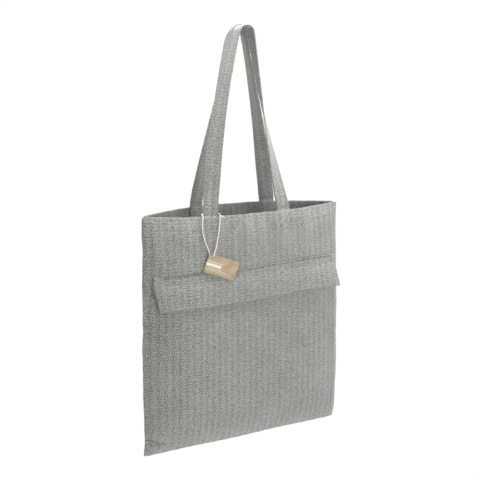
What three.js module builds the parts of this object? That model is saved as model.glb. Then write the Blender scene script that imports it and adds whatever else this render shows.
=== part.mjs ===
// Cotton tote bag with a sewn-on front flap over a full-width pocket, two long handles and a swing tag.
// Millimetres. The origin is the point that the two handles hang from. The flap faces -Y and +Z is up.

import * as THREE from "three";

// ---- Driving dimensions ----

const fabric = 1;                 // thickness of one layer of cloth
const gap = 0.35;                 // clearance between layers that lie on each other
const thread = 0.7;               // thickness of a row of topstitching

const bag = {
  width: 380,                     // across the bottom corners
  height: 420,
  rimLevel: -302,                 // height of the side seams at the rim
  seamPlane: -16,                 // the side seams hang behind the front rim and in front of the back rim
  rimHalf: 184.6,                 // half the distance between the side seams where the mouth is open
  cornerLength: 48,               // the side seams spread to the full width over this length
  seamOpening: 1.3,               // each panel's distance from the seam plane along the seams
};

const shape = {
  frontBow: 15,                   // how far the rim bows forward between the side seams
  backBow: 60,
  bowPower: 2.2,
  frontDip: 7,                    // the front rim hangs lower between the seams
  fullness: 20,                   // how far each panel stands out below the mouth
  flatHalf: 0.5,                  // the panels are flat over this share of their width
  frontBowEnd: 0.3,               // share of the height over which the front bow dies out
  backBowEnd: 0.6,
  fullFrom: 0.3,                  // share of the height where the panels reach their fullness
  closeFrom: 0.8,                 // share of the height where they start to close to the bottom seam
};

const seam = {
  allowance: 9,                   // width of the bound raw edges inside the side and bottom seams
  sideRows: [28, 60, 200, 336, 395],
  bottomHalf: 170.6,
};

const hemDepth = 25;              // folded hem round the mouth
const hemStitchDepth = 22.5;

// The flap is level, so its rows are given below the rim's ends and not below its sagging middle.
const flap = {
  top: 98,                        // its sewn top edge
  rowOne: 100.5,                  // the two rows of topstitching
  rowTwo: 111.5,
  fold: 114.5,                    // it swings below this line
  length: 42.5,                   // free length below the fold line
  middleAngle: 19,                // degrees from hanging straight down
  endAngle: 26,
  spread: 0.012,                  // its hem is longer than its top edge by this share
  rise: 1.5,                      // it is sewn on a little out of level: this much higher in the middle,
  lean: 3.1,                      // and its right end this much higher again
  foldClearance: 0.035,           // share of its free length that stays clear of the sewn edge
  liningLength: 0.99,             // share of the outer layer's length
};

const pocket = {
  top: 135,                       // depth of its hemmed mouth, hidden by the flap
  hem: 15,
  hemStitchInset: 3,              // the row of stitches lies this far above the hem's edge
  fullness: 5.6,                  // extra room between it and the front panel
  seated: 1.7,                    // its distance from the front panel's middle along the seams
  seatedFrom: 0.92,               // share of the half width where it lies on the panel again
};

const handle = {
  width: 26.5,
  thickness: 2.4,
  rootX: 69.5,                    // middle of each leg at the rim
  topRadius: 13,                  // bend of the strap at the top
  endLength: 36,                  // sewn to the inside of the panel over this length
  endOffset: 3.4,                 // middle of the strap from the middle of the panel, over the hem
  axisLift: 2.5,                  // the handle folds about this height above the rim
  apexGap: 0.5,                   // from the middle plane to the edge of each strap at the top
  squareShare: 0.05,              // share of a leg where its end turns level with the rim
  steps: 44,
  crowding: 1.7,                  // how much closer the steps are at the top than at the rim
  boxStitch: { width: 22, height: 26, line: 0.9, top: 5 },
};

// Each leg turns a quarter about its own length between the rim and the top. "turn" is how early it
// turns, "swell" how far it bows outwards along X.
const legs = {
  front: { side: -1, sway: 5, left: { turn: 1.35, swell: 8 }, right: { turn: 1.65, swell: -2 } },
  back: { side: 1, sway: 0, left: { turn: 1.5, swell: 4.5 }, right: { turn: 2.4, swell: 3.5 } },
};

const tag = {
  length: 57,
  height: 32,
  thickness: 0.8,
  cornerRadius: 1.2,
  holeRadius: 2.3,
  holeIn: 6,                      // hole from the left edge and from the top edge
  holeDown: 4.6,
  hole: new THREE.Vector3(-74.8, -44.4, -374.2),
  droop: 19,                      // degrees that its right end hangs down
};

const stringDiameter = 1.8;

// The loop of string round the left leg of the front handle, from the knot at its right to the left,
// then the two strands that hang in front of the panel, through the tag's hole.
const stringLoop = [
  [-54.1, -33.3, -308.1], [-54.1, -32.0, -306.0], [-54.1, -29.0, -304.9], [-54.9, -26.2, -304.6],
  [-57.2, -24.2, -304.6], [-62.0, -23.7, -304.6], [-69.5, -23.7, -304.6], [-77.0, -23.7, -304.6],
  [-81.8, -24.2, -304.6], [-84.3, -26.2, -304.6], [-85.0, -29.0, -304.9], [-85.1, -32.0, -306.0],
  [-85.1, -33.3, -308.1],
];
const stringStrands = [
  [-54.2, -33.6, -310.0], [-55.0, -37.0, -317.0], [-57.2, -41.0, -329.0], [-60.6, -42.9, -343.0],
  [-64.4, -44.4, -356.0], [-68.2, -45.3, -365.0], [-71.9, -46.5, -371.4], [-74.8, -44.4, -374.2],
  [-77.3, -42.4, -371.2], [-79.3, -42.2, -364.0], [-83.6, -41.8, -353.0], [-87.0, -40.4, -341.0],
  [-88.4, -38.2, -329.0], [-87.4, -35.6, -317.0], [-85.3, -33.6, -310.0],
];
const stringSteps = { loop: 30, strands: 46, sides: 8 };
const knot = {
  radius: 1.7,
  stretch: new THREE.Vector3(1.15, 0.8, 1),
  centre: new THREE.Vector3(-51.3, -34.1, -309.3),
};

// ---- Stations shared by every layer, so that layers lie on each other without crossing ----

const columns = 24;
const across = Array.from({ length: columns + 1 }, (_, i) => Math.sin(Math.PI * (i / columns - 0.5)));
const flapColumns = across.slice(3, columns - 2);
const bottomRows = [357, 378, 395, 407, 415, 420];
const panelRows = [0, hemStitchDepth, hemDepth, 60, 92, 104, 116, 128, 336, ...bottomRows];
const pocketRows = [pocket.top, 336, ...bottomRows];

// ---- Surfaces ----

const lerp = THREE.MathUtils.lerp;
const radians = THREE.MathUtils.degToRad;
const share = (value, end) => Math.max(0, 1 - value / end);

function halfWidth(depth) {
  const corner = Math.max(0, (depth - bag.height + bag.cornerLength) / bag.cornerLength);
  return bag.rimHalf + (bag.width / 2 - bag.rimHalf) * corner ** 2;
}

// How full a panel is at u (-1 to 1 from seam to seam) and s (0 to 1 from rim to bottom seam).
function fullness(u, s) {
  const rise = 1 - share(s, shape.fullFrom) ** 3;
  const close = Math.max(0, (s - shape.closeFrom) / (1 - shape.closeFrom));
  const edge = Math.max(0, (Math.abs(u) - shape.flatHalf) / (1 - shape.flatHalf));
  return shape.fullness * rise * (1 - close ** 2.5) ** 0.7 * Math.sqrt(1 - edge ** 3);
}

// The middle of a panel's cloth; side is -1 for the front panel and +1 for the back one.
function panelPoint(side, u, depth) {
  const s = depth / bag.height;
  const ends = 1 - Math.abs(u) ** shape.bowPower;
  const bow = side < 0
    ? shape.frontBow * share(s, shape.frontBowEnd) ** 1.5
    : shape.backBow * share(s, shape.backBowEnd) ** 2;
  const dip = side < 0 ? shape.frontDip * ends * (1 - s) : 0;
  const y = bag.seamPlane + side * (bag.seamOpening + bow * ends + fullness(u, s));
  return new THREE.Vector3(u * halfWidth(depth), y, bag.rimLevel - depth - dip);
}

// The depth on the front panel of a row of the flap, whose level is measured from the rim's ends.
function depthAtLevel(u, level) {
  const dip = shape.frontDip * (1 - Math.abs(u) ** shape.bowPower);
  return (level - flap.rise - flap.lean * u - dip) / (1 - dip / bag.height);
}

// A point at a distance from the panel's middle, outwards from the bag.
function layerPoint(side, u, depth, offset) {
  const step = 0.01;
  const inwards = u > 0 ? -step : step;
  const upwards = depth > bag.height / 2 ? -2 : 2;
  const point = panelPoint(side, u, depth);
  const alongU = panelPoint(side, u + inwards, depth).sub(point).multiplyScalar(Math.sign(inwards));
  const alongDepth = panelPoint(side, u, depth + upwards).sub(point).multiplyScalar(Math.sign(upwards));
  const normal = alongU.cross(alongDepth).normalize().multiplyScalar(-side);
  return point.addScaledVector(normal, -offset);
}

// ---- Geometry ----

// A box of columns by rows, with each vertex moved by place(column, face, row); face is -1 or +1.
function bentBox(columnCount, rowCount, place) {
  const geometry = new THREE.BoxGeometry(1, 1, 1, columnCount, 1, rowCount);
  const position = geometry.attributes.position;
  for (let i = 0; i < position.count; i += 1) {
    const column = Math.round((position.getX(i) + 0.5) * columnCount);
    const row = Math.round((position.getZ(i) + 0.5) * rowCount);
    const point = place(column, Math.sign(position.getY(i)), row);
    position.setXYZ(i, point.x, point.y, point.z);
  }
  // Both faces get the same diagonals, so that the sheet keeps its thickness where it twists.
  const { start, count } = geometry.groups[3];
  for (let i = start; i < start + count; i += 6) {
    const [a, b, d, , c] = geometry.index.array.slice(i, i + 6);
    geometry.index.set([a, b, c, a, c, d], i);
  }
  geometry.computeVertexNormals();
  return geometry;
}

// A layer of cloth on a panel. offset is a number or a function of u and depth.
function layer(side, us, depths, offset, thickness, depthAt = (u, depth) => depth) {
  const rows = side < 0 ? depths : [...depths].reverse();
  const middle = typeof offset === "function" ? offset : () => offset;
  return bentBox(us.length - 1, rows.length - 1, (column, face, row) => {
    const u = us[column];
    const depth = depthAt(u, rows[row]);
    return layerPoint(side, u, depth, middle(u, depth) + face * thickness / 2);
  });
}

function tube(points, diameter, steps) {
  const path = new THREE.CatmullRomCurve3(points.map((p) => new THREE.Vector3(...p)), false, "centripetal");
  const section = new THREE.Shape();
  for (let i = 0; i < stringSteps.sides; i += 1) {
    const angle = 2 * Math.PI * i / stringSteps.sides;
    const point = [diameter / 2 * Math.cos(angle), diameter / 2 * Math.sin(angle)];
    if (i === 0) section.moveTo(...point);
    else section.lineTo(...point);
  }
  section.closePath();
  return new THREE.ExtrudeGeometry(section, { steps, bevelEnabled: false, extrudePath: path });
}

// ---- Materials ----

const cloth = new THREE.MeshStandardMaterial({ color: 0x9c9d98, roughness: 0.95, metalness: 0 });
const lining = new THREE.MeshStandardMaterial({ color: 0x8c8d88, roughness: 0.95, metalness: 0 });
const stitching = new THREE.MeshStandardMaterial({ color: 0x858680, roughness: 0.9, metalness: 0 });
const whiteCotton = new THREE.MeshStandardMaterial({ color: 0xece9e0, roughness: 0.9, metalness: 0 });
const kraftCard = new THREE.MeshStandardMaterial({ color: 0xc6b592, roughness: 0.85, metalness: 0 });

const tote = new THREE.Group();

function add(name, geometry, material, parent = tote) {
  const mesh = new THREE.Mesh(geometry, material);
  mesh.name = name;
  parent.add(mesh);
  return mesh;
}

// ---- Bag ----

const hemOffset = -(fabric + gap);

function addPanel(name, side) {
  add(`${name}_panel`, layer(side, across, panelRows, 0, fabric), cloth);
  const hemRows = [0, hemStitchDepth, hemDepth];
  add(`${name}_rim_hem`, layer(side, across.slice(1, columns), hemRows, hemOffset, fabric), lining);
  addStitchRow(`${name}_rim_stitch`, side, across.slice(1, columns), hemStitchDepth, 0, fabric);
}

// A row of topstitching lies on a layer of the given offset and thickness.
function addStitchRow(name, side, us, depth, offset, thickness, depthAt) {
  const rise = offset + thickness / 2 + gap + thread / 2;
  const rows = [depth - thread / 2, depth + thread / 2];
  add(name, layer(side, us, rows, rise, thread, depthAt), stitching);
}

// The seam allowances inside: the panels' raw edges, bound together.
function addSeams() {
  const thickness = 2 * (bag.seamOpening - gap);
  const rows = [...seam.sideRows].reverse();
  for (const [name, direction] of [["left", -1], ["right", 1]]) {
    const strip = bentBox(1, rows.length - 1, (column, face, row) => {
      const inwards = direction > 0 ? 1 - column : column;
      const x = halfWidth(rows[row]) - gap - inwards * seam.allowance;
      return new THREE.Vector3(direction * x, bag.seamPlane + face * thickness / 2, bag.rimLevel - rows[row]);
    });
    add(`${name}_side_seam`, strip, lining);
  }
  const strip = new THREE.BoxGeometry(2 * seam.bottomHalf, thickness, seam.allowance);
  const bottomLevel = bag.rimLevel - bag.height;
  add("bottom_seam", strip, lining).position.set(0, bag.seamPlane, bottomLevel + seam.allowance / 2 + gap);
}

// ---- Flap and pocket ----

const bandOffset = fabric / 2 + gap + fabric + gap / 2;   // two layers of cloth on the panel
const bandThickness = 2 * fabric + gap;

function addFlap() {
  const bandRows = [flap.top, flap.rowOne, flap.rowTwo, flap.fold];
  const band = layer(-1, flapColumns, bandRows, bandOffset, bandThickness, depthAtLevel);
  add("flap_sewn_edge", band, cloth);
  addStitchRow("flap_stitch_upper", -1, flapColumns, flap.rowOne, bandOffset, bandThickness, depthAtLevel);
  addStitchRow("flap_stitch_lower", -1, flapColumns, flap.rowTwo, bandOffset, bandThickness, depthAtLevel);

  const rows = [0, 0.25, 0.5, 0.75, 1];
  const swing = (us, offset, from, to) => bentBox(us.length - 1, rows.length - 1, (column, face, row) => {
    const u = us[column];
    const v = lerp(from, to, rows[row]);
    const angle = radians(lerp(flap.middleAngle, flap.endAngle, Math.abs(u) ** 3));
    const point = layerPoint(-1, u, depthAtLevel(u, flap.fold), bandOffset);
    point.x *= 1 + flap.spread * v;
    point.y -= v * flap.length * Math.sin(angle);
    point.z -= v * flap.length * Math.cos(angle);
    const outwards = offset + face * fabric / 2;
    return point.add(new THREE.Vector3(0, -Math.cos(angle) * outwards, Math.sin(angle) * outwards));
  });
  const start = flap.foldClearance;
  add("flap_outer", swing(flapColumns, (fabric + gap) / 2, start, 1), cloth);
  add("flap_lining", swing(flapColumns, -(fabric + gap) / 2, start, flap.liningLength), lining);
}

function pocketOffset(u, depth) {
  const s = depth / bag.height;
  const close = Math.max(0, (s - shape.closeFrom) / (1 - shape.closeFrom));
  const edge = THREE.MathUtils.smoothstep(Math.abs(u), shape.flatHalf, pocket.seatedFrom);
  return pocket.seated + pocket.fullness * (1 - close ** 2) * (1 - edge);
}

function addPocket() {
  const hemRows = [pocket.top, pocket.top + pocket.hem];
  const inside = (u, depth) => pocketOffset(u, depth) - fabric - gap;
  add("pocket_panel", layer(-1, across, pocketRows, pocketOffset, fabric), cloth);
  add("pocket_hem", layer(-1, across.slice(6, columns - 5), hemRows, inside, fabric), lining);
  const row = pocket.top + pocket.hem - pocket.hemStitchInset;
  const rise = (u, depth) => pocketOffset(u, depth) + fabric / 2 + gap + thread / 2;
  const stitch = layer(-1, across.slice(3, columns - 2), [row - thread / 2, row + thread / 2], rise, thread);
  add("pocket_hem_stitch", stitch, stitching);
}

// ---- Handles ----

// One leg's centre line in X and Z: straight from the rim, then round the top bend. t runs 0 to 1.
function legPoint(rootZ, t) {
  const topZ = handle.thickness / 2;
  const radius = handle.topRadius;
  const centreZ = topZ - radius;
  const reach = Math.hypot(handle.rootX, rootZ - centreZ);
  const tangent = Math.atan2(rootZ - centreZ, handle.rootX) + Math.acos(radius / reach);
  const end = new THREE.Vector2(radius * Math.cos(tangent), centreZ + radius * Math.sin(tangent));
  const straight = end.distanceTo(new THREE.Vector2(handle.rootX, rootZ));
  const bend = radius * (Math.PI / 2 - tangent);
  const run = t * (straight + bend);
  if (run < straight) {
    return new THREE.Vector2(lerp(handle.rootX, end.x, run / straight), lerp(rootZ, end.y, run / straight));
  }
  const angle = tangent + (run - straight) / radius;
  return new THREE.Vector2(radius * Math.cos(angle), centreZ + radius * Math.sin(angle));
}

function rimPoint(side) {
  return layerPoint(side, handle.rootX / bag.rimHalf, 0, -handle.endOffset);
}

// The strap's centre line from the left root (k = -1) over the top to the right root (k = 1).
function strapPoint(spec, k) {
  const t = 1 - Math.abs(k);
  const leg = k < 0 ? spec.left : spec.right;
  const rim = rimPoint(spec.side);
  const point = legPoint(rim.z + handle.axisLift + gap, t);
  const apexY = spec.side * (handle.width / 2 + handle.apexGap);
  const bulge = Math.sin(Math.PI * t);
  return new THREE.Vector3(
    Math.sign(k) * (point.x + leg.swell * bulge),
    lerp(rim.y, apexY, t) - spec.side * spec.sway * bulge,
    point.y,
  );
}

function strapFrame(spec, k) {
  const step = 0.004;
  const before = strapPoint(spec, Math.max(-1, k - step));
  const after = strapPoint(spec, Math.min(1, k + step));
  const along = after.sub(before).normalize();
  const leg = k < 0 ? spec.left : spec.right;
  const turned = Math.PI / 2 * (1 - Math.abs(k) ** leg.turn);
  const width = new THREE.Vector3(-spec.side * Math.sign(k) * Math.cos(turned), Math.sin(turned), 0);
  const square = Math.min(1, (1 - Math.abs(k)) / handle.squareShare);
  width.addScaledVector(along, -square * width.dot(along)).normalize();
  return { centre: strapPoint(spec, k), width, outwards: along.clone().cross(width).normalize() };
}

function strap(spec) {
  return bentBox(1, handle.steps, (column, face, row) => {
    const even = 2 * row / handle.steps - 1;
    const k = Math.sign(even) * Math.abs(even) ** handle.crowding;
    const frame = strapFrame(spec, k);
    return frame.centre
      .addScaledVector(frame.width, (column - 0.5) * handle.width)
      .addScaledVector(frame.outwards, face * handle.thickness / 2);
  });
}

// The stitched box with its diagonals: a frame with four triangular windows.
function boxStitch(side, centreX) {
  const { width, height, line, top } = handle.boxStitch;
  const outline = new THREE.Shape([
    new THREE.Vector2(-width / 2, -height / 2), new THREE.Vector2(width / 2, -height / 2),
    new THREE.Vector2(width / 2, height / 2), new THREE.Vector2(-width / 2, height / 2),
  ]);
  const inner = [width / 2 - line, height / 2 - line];
  for (const [x, y] of [[1, 0], [-1, 0], [0, 1], [0, -1]]) {
    const corner = (sx, sy) => new THREE.Vector2(
      sx * (inner[0] - (y !== 0 ? line : 0)),
      sy * (inner[1] - (x !== 0 ? line : 0)),
    );
    const tip = new THREE.Vector2(x * line, y * line);
    const ends = x !== 0 ? [corner(x, -1), corner(x, 1)] : [corner(-1, y), corner(1, y)];
    outline.holes.push(new THREE.Path([tip, ...ends]));
  }
  const geometry = new THREE.ExtrudeGeometry(outline, { depth: thread, bevelEnabled: false });
  const position = geometry.attributes.position;
  for (let i = 0; i < position.count; i += 1) {
    const depth = top + height / 2 - position.getY(i);
    const u = (centreX - side * position.getX(i)) / bag.rimHalf;
    const point = layerPoint(side, u, depth, fabric / 2 + gap + thread + gap + position.getZ(i));
    position.setXYZ(i, point.x, point.y, point.z);
  }
  return geometry;
}

function addHandle(name, spec) {
  add(`${name}_handle`, strap(spec), cloth);
  const half = handle.width / 2 / bag.rimHalf;
  for (const [place, direction] of [["left", -1], ["right", 1]]) {
    const middle = direction * handle.rootX / bag.rimHalf;
    const us = [middle - half, middle, middle + half];
    const rows = [gap - handle.axisLift, 0, handle.endLength];
    const end = layer(spec.side, us, rows, -handle.endOffset, handle.thickness);
    add(`${name}_handle_end_${place}`, end, cloth);
    add(`${name}_box_stitch_${place}`, boxStitch(spec.side, direction * handle.rootX), stitching);
  }
}

// ---- Swing tag ----

function addTag() {
  add("tag_string_loop", tube(stringLoop, stringDiameter, stringSteps.loop), whiteCotton);
  add("tag_string", tube(stringStrands, stringDiameter, stringSteps.strands), whiteCotton);

  const ball = new THREE.SphereGeometry(knot.radius, 10, 6);
  ball.scale(...knot.stretch);
  add("tag_string_knot", ball, whiteCotton).position.copy(knot.centre);

  const radius = tag.cornerRadius;
  const right = tag.length - tag.holeIn;
  const left = -tag.holeIn;
  const top = tag.holeDown;
  const bottom = tag.holeDown - tag.height;
  const card = new THREE.Shape();
  card.moveTo(left + radius, bottom);
  card.lineTo(right - radius, bottom);
  card.quadraticCurveTo(right, bottom, right, bottom + radius);
  card.lineTo(right, top - radius);
  card.quadraticCurveTo(right, top, right - radius, top);
  card.lineTo(left + radius, top);
  card.quadraticCurveTo(left, top, left, top - radius);
  card.lineTo(left, bottom + radius);
  card.quadraticCurveTo(left, bottom, left + radius, bottom);
  card.holes.push(new THREE.Path().absarc(0, 0, tag.holeRadius, 0, 2 * Math.PI, true));
  const options = { depth: tag.thickness, bevelEnabled: false, curveSegments: 4 };
  const geometry = new THREE.ExtrudeGeometry(card, options);
  geometry.translate(0, 0, -tag.thickness / 2);
  geometry.rotateX(Math.PI / 2);

  const hanging = new THREE.Group();
  hanging.position.copy(tag.hole);
  hanging.rotation.y = radians(tag.droop);
  tote.add(hanging);
  add("hang_tag", geometry, kraftCard, hanging);
}

addPanel("front", -1);
addPanel("back", 1);
addSeams();
addFlap();
addPocket();
addHandle("front", legs.front);
addHandle("back", legs.back);
addTag();

export default tote;
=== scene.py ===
"""Looks for a hanging cotton tote bag with a flap, two handles and a swing tag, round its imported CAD."""

import math

import bpy
import numpy as np
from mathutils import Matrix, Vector


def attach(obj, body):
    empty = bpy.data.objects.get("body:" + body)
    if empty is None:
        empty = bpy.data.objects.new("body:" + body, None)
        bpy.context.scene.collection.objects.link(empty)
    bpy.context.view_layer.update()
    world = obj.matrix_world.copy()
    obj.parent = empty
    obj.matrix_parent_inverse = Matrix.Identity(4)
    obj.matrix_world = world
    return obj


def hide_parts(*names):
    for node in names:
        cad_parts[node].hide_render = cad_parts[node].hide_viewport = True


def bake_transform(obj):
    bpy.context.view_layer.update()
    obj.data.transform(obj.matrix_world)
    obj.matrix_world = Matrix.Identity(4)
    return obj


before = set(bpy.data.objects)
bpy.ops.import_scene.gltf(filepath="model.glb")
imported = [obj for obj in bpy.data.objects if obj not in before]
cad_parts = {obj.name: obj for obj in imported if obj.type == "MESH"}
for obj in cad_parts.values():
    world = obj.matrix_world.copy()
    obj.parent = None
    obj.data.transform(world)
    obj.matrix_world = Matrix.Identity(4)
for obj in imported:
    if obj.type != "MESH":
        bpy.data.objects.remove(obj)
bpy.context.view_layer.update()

# Lengths here are millimetres in the row frame, and are turned into metres when a mesh is made.
MM = 0.001

# The bag's dimensions, as in the CAD.
HEIGHT, HALF_RIM, HALF_BOTTOM = 420.0, 184.6, 189.6
RIM_Z, SEAM_Y, SEAM_GAP = -302.0, -16.0, 0.9
HEM, HEM_STITCH = 25.0, 22.5
FLAP_TOP, ROW_ONE, ROW_TWO, FOLD, FLAP_LENGTH = 98.0, 100.5, 111.5, 114.5, 42.5
POCKET_TOP, POCKET_HEM = 135.0, 15.0
STRAP_WIDTH, STRAP_THICK, STRAP_ROOT, STRAP_RADIUS, STRAP_END = 26.5, 2.4, 69.5, 13.0, 36.0

# The hanging cloth: how much higher than in the CAD its bottom edge lies, how far it bulges between its
# seams, and how far its rims bow out and sag.
LIFT, FULLNESS = 2.8, 20
FRONT_BOW, BACK_BOW, RIM_DIP, BOW_POWER = 15, 60, 7, 2.2

# The front's own shapes: a ridge beside each side seam, the fuller lower left, the crease at the bottom left
# corner, and the tuck over the flap's top edge.
RIDGE, LEFT_FULL, CREASE, TUCK = 2.3, 3.5, 6.0, 2.5

# The flap: its half width as a share of the rim's, how its top edge rises and leans, how many degrees it
# hangs off the front, how many more at its right end and its left part, and how far its hem comes back in.
FLAP_END, FLAP_RISE, FLAP_LEAN = 0.926, 1.5, 3.1
FLAP_HANG, HANG_RIGHT, HANG_LEFT, FLAP_IN = 12, 13, 2.5, 5.0

# Cloth: half its thickness, what a turned hem adds, and the number of points round an edge.
CLOTH_HALF, RIM_HEM_THICK, POCKET_HEM_THICK, EDGE_ROLL = 0.5, 1.25, 1.2, 6

# Steps for the slope of a surface: across it as a share of its half width, down it in mm, and down the flap.
STEP_U, STEP_D, STEP_V = 0.006, 1.5, 0.6


# ---- Small tools ----

def smooth(x, a=0.0, b=1.0):
    """Rises smoothly from 0 at a to 1 at b."""
    t = np.clip((np.asarray(x, float) - a) / (b - a), 0, 1)
    return t * t * (3 - 2 * t)


def share(value, end):
    """Falls evenly from 1 at 0 to 0 at end, and stays there."""
    return np.maximum(0, 1 - value / end)


def bump(x, centre, width):
    return np.exp(-(((x - centre) / width) ** 2))


def noise(x, y, size, seed):
    """Smooth value noise from -1 to 1 with features of about that size."""
    table = np.random.default_rng(seed).uniform(-1, 1, (64, 64))
    gx, gy = np.broadcast_arrays(np.asarray(x, float) / size + 31.3, np.asarray(y, float) / size + 17.7)
    i, j = np.floor(gx).astype(int), np.floor(gy).astype(int)
    f, g = smooth(gx - i), smooth(gy - j)
    a, b = table[i % 64, j % 64], table[(i + 1) % 64, j % 64]
    c, d = table[i % 64, (j + 1) % 64], table[(i + 1) % 64, (j + 1) % 64]
    return (a * (1 - f) + b * f) * (1 - g) + (c * (1 - f) + d * f) * g


def unit(v):
    return v / np.maximum(np.linalg.norm(v, axis=-1, keepdims=True), 1e-9)


def pairs(a, b):
    """Each a beside each b, as the last axis."""
    return np.stack(np.broadcast_arrays(a, b), -1)


def placed(name, data):
    """A new object in the scene."""
    piece = bpy.data.objects.new(name, data)
    bpy.context.scene.collection.objects.link(piece)
    return piece


def aimed(piece, place, way):
    """Stands a camera or a lamp at a place and turns it that way."""
    piece.location = place
    piece.rotation_mode = "QUATERNION"
    piece.rotation_quaternion = Vector(way).to_track_quat("-Z", "Y")


def ride(piece, body, slot, *nodes):
    """Fixes a piece to a body and hides the CAD nodes it stands for. Its slot is not used."""
    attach(piece, body)
    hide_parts(*nodes)
    return piece


def make_mesh(name, points, faces, uvs, material):
    """points in mm; uvs holds one pair in mm for each corner of each face."""
    mesh = bpy.data.meshes.new(name)
    mesh.from_pydata((np.asarray(points, float).reshape(-1, 3) * MM).tolist(), [], faces)
    layer = mesh.uv_layers.new(name="cloth")
    layer.data.foreach_set("uv", (np.asarray(uvs, float) * MM).astype(np.float32).ravel())
    mesh.polygons.foreach_set("use_smooth", [True] * len(mesh.polygons))
    mesh.materials.append(material)
    mesh.validate()
    mesh.update()
    return placed(name, mesh)


def loft(name, rings, uvs, material):
    """A closed skin through rings of points. Point i of a ring faces point n-1-i, and the ends are closed
    between them. uvs has one point more than a ring, so that the place on the cloth runs on past the join."""
    count, n = rings.shape[:2]
    faces, corners = [], []
    for r in range(count - 1):
        for p in range(n):
            q = (p + 1) % n
            faces.append((r * n + p, r * n + q, (r + 1) * n + q, (r + 1) * n + p))
            corners += [uvs[r, p], uvs[r, p + 1], uvs[r + 1, p + 1], uvs[r + 1, p]]
    for r, order in ((0, 1), (count - 1, -1)):
        for p in range(n // 2 - 1):
            face = (r * n + p, r * n + n - 1 - p, r * n + n - 2 - p, r * n + p + 1)[::order]
            faces.append(face)
            corners += [uvs[r, f - r * n] for f in face]
    return make_mesh(name, rings, faces, corners, material)


def outward(piece):
    """Turns the faces so that they look out of the closed skin."""
    mesh = piece.data
    co = np.array([v.co for v in mesh.vertices])
    mesh.calc_loop_triangles()
    tri = np.array([t.vertices[:] for t in mesh.loop_triangles])
    a, b, c = co[tri[:, 0]], co[tri[:, 1]], co[tri[:, 2]]
    if (a * np.cross(b, c)).sum() < 0:
        mesh.flip_normals()
    return piece


# ---- The hanging cloth ----

def half_width(d):
    return HALF_RIM + (HALF_BOTTOM - HALF_RIM) * smooth(d, 30, 330)


def edge_wave(u, d):
    """How far the pulled side seams wander outwards, and the ear at each bottom corner."""
    wave = 0.9 * noise(d, 90 * np.sign(u), 34, 81) + 0.45 * noise(d, 90 * np.sign(u), 13, 82)
    ear = 2.6 * smooth(d, 398, 420) * (u < 0) - 3.2 * smooth(d, 385, 420) ** 2 * (u > 0)
    return np.sign(u) * smooth(np.abs(u), 0.8, 1.0) * (wave * smooth(d, 0, 30) + ear)


def fullness(u, s):
    """How far a panel bulges at the share s of its height: fast below the rim, and nothing at its seams."""
    rise = 1 - share(s, 0.3) ** 3
    close = np.clip((s - 0.8) / 0.2, 0, 1)
    edge = np.clip((np.abs(u) - 0.5) / 0.5, 0, 1)
    return FULLNESS * rise * np.maximum(1 - close**2.5, 0) ** 0.7 * np.sqrt(1 - edge**3)


def seam_pucker(u, d, seed):
    """Short ripples where the side and bottom seams gather the cloth."""
    side = np.exp(-(1 - np.abs(u)) * HALF_RIM / 10)
    bottom = np.exp(-np.abs(HEIGHT - d) / 12)
    phase = 2.5 * noise(d, 40 * np.sign(u), 60, seed)
    along = np.sin(2 * np.pi * d / 19 + phase) * side
    under = np.sin(2 * np.pi * u * HALF_RIM / 23 + 3 * noise(u * 180, 0, 70, seed + 1)) * bottom
    return 0.5 * along + 0.45 * under


# Soft vertical folds that the weight on the handles draws below the rims: x, height, half width.
FRONT_FOLDS = ((-120, 1.2, 13), (-97, -1.1, 9), (-26, 1.7, 7), (-6, 1.5, 6), (9, -1.8, 6), (31, -3.0, 9),
               (58, 2.2, 9), (104, 1.4, 10), (127, -1.2, 11))
BACK_FOLDS = ((-110, 1.4, 12), (-30, 1.6, 11), (5, -1.6, 12), (42, 1.4, 11), (115, 1.2, 13))


def level(u, below):
    """The depth on the front panel of a row of the flap, whose level is measured from the rim's ends."""
    dip = RIM_DIP * (1 - np.abs(u) ** BOW_POWER)
    wander = 3.0 * bump(u, -0.15, 0.35) - 2.0 * bump(u, 0.55, 0.25)
    return (below - FLAP_RISE - FLAP_LEAN * u + wander - dip) / (1 - dip / HEIGHT)


def front_relief(u, d):
    """How far the front's folds and ridges stand out."""
    x, inner = u * HALF_RIM, 1 - np.abs(u) ** 8
    out = 1.5 * noise(x, d * 0.7, 95, 1) + 0.55 * noise(x, d, 38, 2) + 0.18 * noise(x, d * 0.8, 15, 3)
    for centre, height, width in FRONT_FOLDS:
        lean = centre + 0.08 * d * np.sign(centre)
        out = out + height * bump(x, lean, width * (1 + d / 160)) * np.exp(-((d / 70) ** 2))
    for root in (-STRAP_ROOT, STRAP_ROOT):
        away = np.abs(x - root) - 13
        drag = np.sin((away + 0.55 * d) / 7.5) * np.exp(-((d - 30) / 45) ** 2) * np.exp(-(away / 40) ** 2)
        out = out + 0.35 * drag * (away > 0)
    low = smooth(d, 130, 200)
    ridge = 0.8 * bump(u, -0.905 + 0.06 * low, 0.04 + 0.02 * low) + 0.7 * bump(u, 0.93, 0.03)
    out = out * inner + RIDGE * ridge * smooth(d, 10, 60) * (1 - smooth(d, 385, 415))
    full = smooth(u, -0.98, -0.66) * (1 - smooth(u, -0.66, 0.4)) * low * (1 - smooth(d, 340, 410))
    out = out + LEFT_FULL * full
    crease = bump(d, 388 + 60 * (u + 1), 7) * smooth(-u, 0.74, 0.92)
    # The tuck ends just above the flap's top edge.
    above = level(u, FLAP_TOP) - d
    tucked = (above > 0.6 - 0.55 * smooth(u, -0.7, 0)) * (1 - smooth(np.abs(u), 0.86, 0.9))
    tuck = TUCK * smooth(-above, -42, -1.5) * tucked
    return out - CREASE * crease + seam_pucker(u, d, 11) + tuck


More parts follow.
